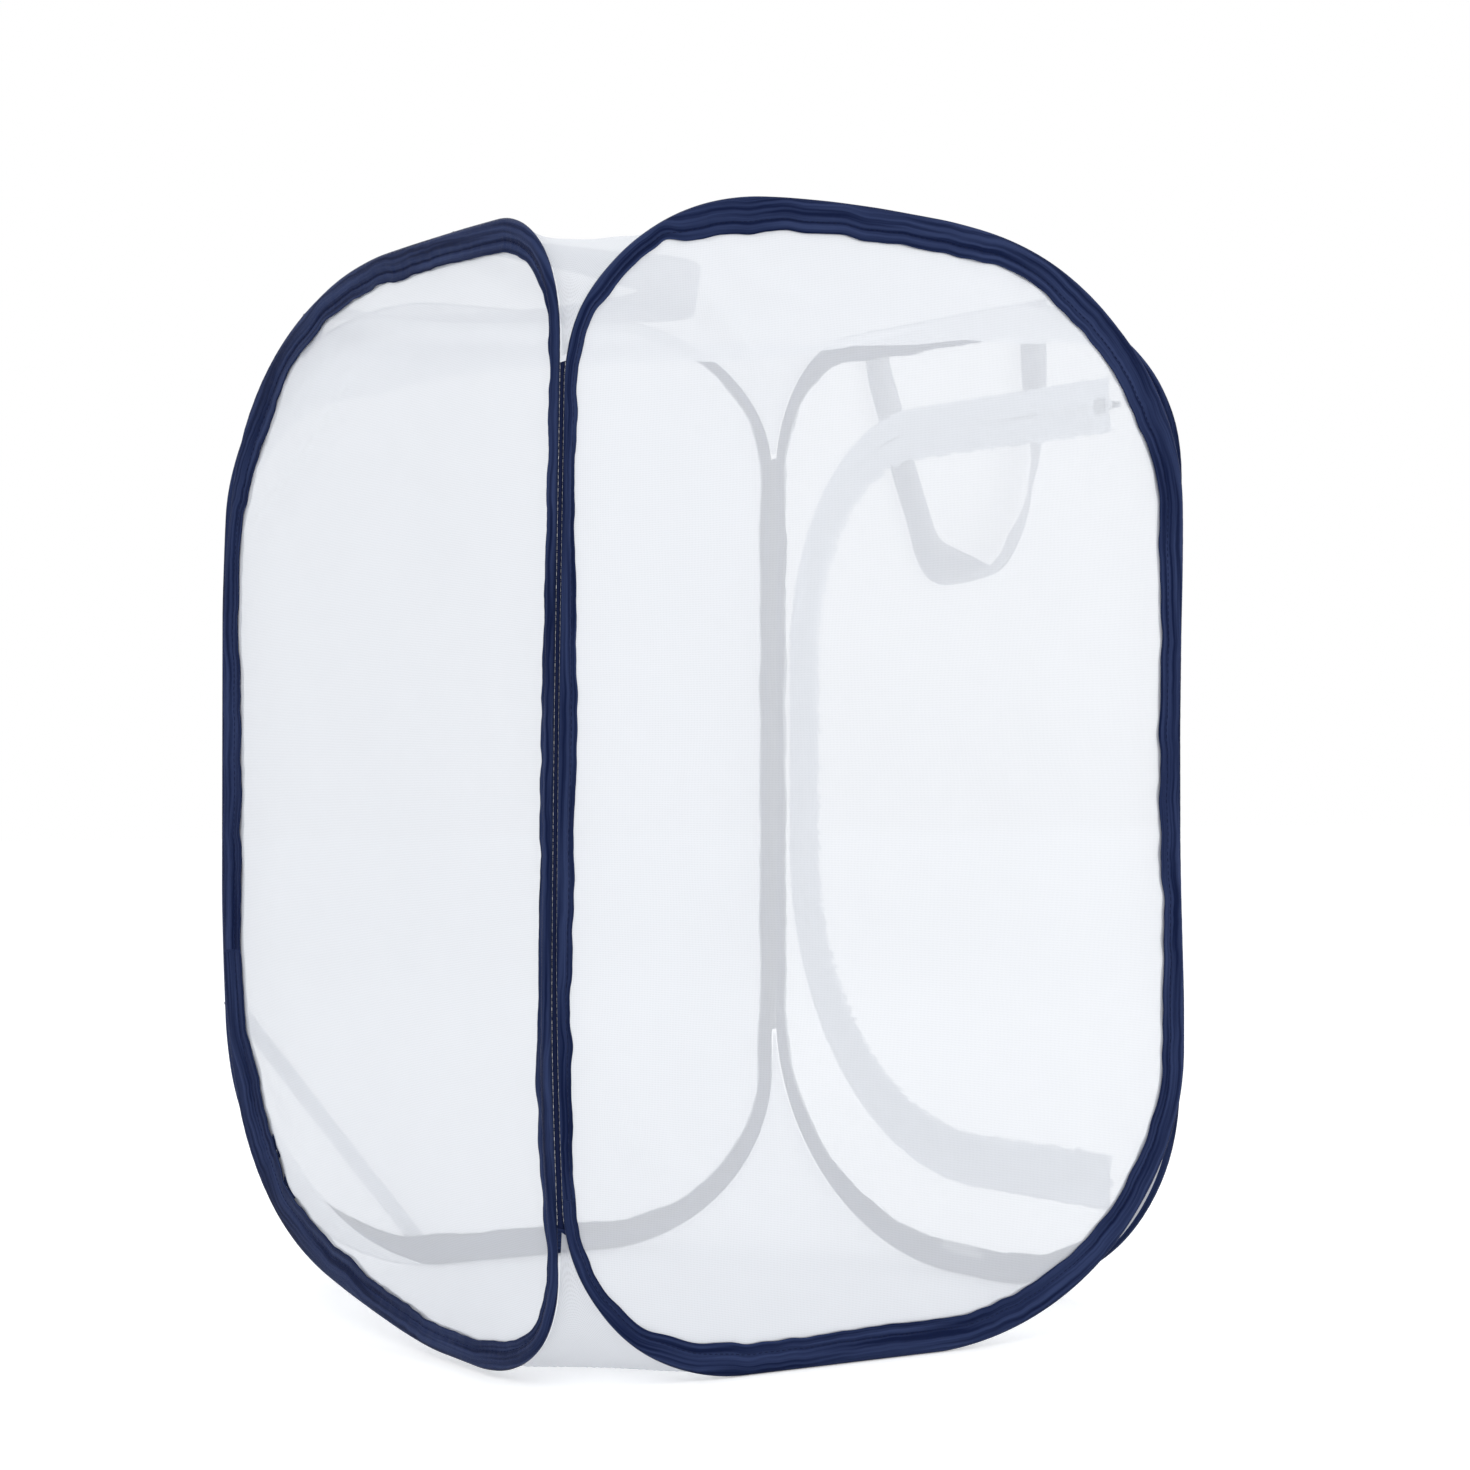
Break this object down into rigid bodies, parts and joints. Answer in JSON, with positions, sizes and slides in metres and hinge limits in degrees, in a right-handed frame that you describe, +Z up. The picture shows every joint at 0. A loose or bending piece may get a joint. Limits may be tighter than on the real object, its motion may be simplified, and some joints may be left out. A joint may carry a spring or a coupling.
{
  "type": "insect cage",
  "caption": "Upright pop-up mesh cage for insects, with bound spring-wire sides that fold flat, a zipped door, webbing handles and a storage strap.",
  "frame": {"origin": "middle of the floor mesh's underside, where it lies flat on the ground", "axes": "+Z up, along the cage's height; the front faces -Y, the side with the zipped door faces +X"},
  "size_m": [0.4336, 0.4158, 0.6],
  "materials": {
    "binding": "navy polyester satin",
    "net": "fine white woven mesh",
    "spring_steel": "drawn wire",
    "webbing": "navy woven webbing",
    "zip_tape": "white woven zip tape and nylon coil",
    "zip_slider": "pale plated zinc",
    "strap": "white woven tape",
    "thread": "navy sewing thread"
  },
  "bodies": {
    "front": {"binding_front": "binding", "wire_front": "spring_steel", "ferrule_front": "spring_steel", "net_front": "net", "net_top": "net", "net_floor": "net", "seam_left_front": "thread", "seam_front_right": "thread"},
    "left": {"binding_left": "binding", "wire_left": "spring_steel", "ferrule_left": "spring_steel", "net_left": "net", "seam_back_left": "thread", "handle_tab_left_first": "webbing", "handle_tab_left_last": "webbing"},
    "right": {"binding_right": "binding", "wire_right": "spring_steel", "ferrule_right": "spring_steel", "net_right": "net", "zip_tape_side": "zip_tape", "zip_tape_end_top": "zip_tape", "zip_tape_end_bottom": "zip_tape", "zip_stop_top": "zip_tape", "zip_stop_bottom": "zip_tape", "seam_right_back": "thread", "handle_tab_right_first": "webbing", "handle_tab_right_last": "webbing"},
    "back": {"binding_back": "binding", "wire_back": "spring_steel", "ferrule_back": "spring_steel", "net_back": "net", "storage_strap": "strap"},
    "door": {"door_net": "net", "zip_tape_door": "zip_tape"},
    "slider": {"zip_slider": "zip_slider"},
    "pull": {"zip_pull": "zip_slider"},
    "handle_left": {"handle_left": "webbing"},
    "handle_right": {"handle_right": "webbing"}
  },
  "joints": [
    {"name": "fold_front_left", "type": "hinge", "parent": "front", "child": "left", "pos_m": [-0.1974, -0.2024, 0.3], "axis": [0, 0, 1], "range_deg": [-85, 0], "stiffness_Nm_per_rad": 0.05, "deforming": ["net_top", "net_floor", "handle_left"]},
    {"name": "fold_front_right", "type": "hinge", "parent": "front", "child": "right", "pos_m": [0.1974, -0.2024, 0.3], "axis": [0, 0, 1], "range_deg": [-85, 0]},
    {"name": "fold_left_back", "type": "hinge", "parent": "left", "child": "back", "pos_m": [-0.1974, 0.2024, 0.3], "axis": [0, 0, 1], "range_deg": [0, 85]},
    {"name": "door_swing", "type": "hinge", "parent": "right", "child": "door", "pos_m": [0.2, -0.12018, 0.295], "axis": [0, 0, 1], "range_deg": [0, 95]},
    {"name": "zip_slide", "type": "slide", "parent": "right", "child": "slider", "axis": [0, 1, 0], "range_m": [0, 0.175]},
    {"name": "pull_turn", "type": "hinge", "parent": "slider", "child": "pull", "pos_m": [0.20347, -0.13368, 0.519], "axis": [0, 0, 1], "range_deg": [0, 170]},
    {"name": "handle_right_swing", "type": "hinge", "parent": "right", "child": "handle_right", "pos_m": [0.2061, 0.015, 0.58905], "axis": [0, -1, -0.0044], "range_deg": [0, 265]},
    {"name": "handle_left_swing", "type": "hinge", "parent": "left", "child": "handle_left", "pos_m": [-0.1962, 0.0045, 0.57939], "axis": [0, -0.9926, 0.1216], "range_deg": [0, 93]}
  ],
  "couplings": [
    {"joint": "fold_front_right", "follows": "fold_front_left", "ratio": 1},
    {"joint": "fold_left_back", "follows": "fold_front_left", "ratio": -1}
  ]
}
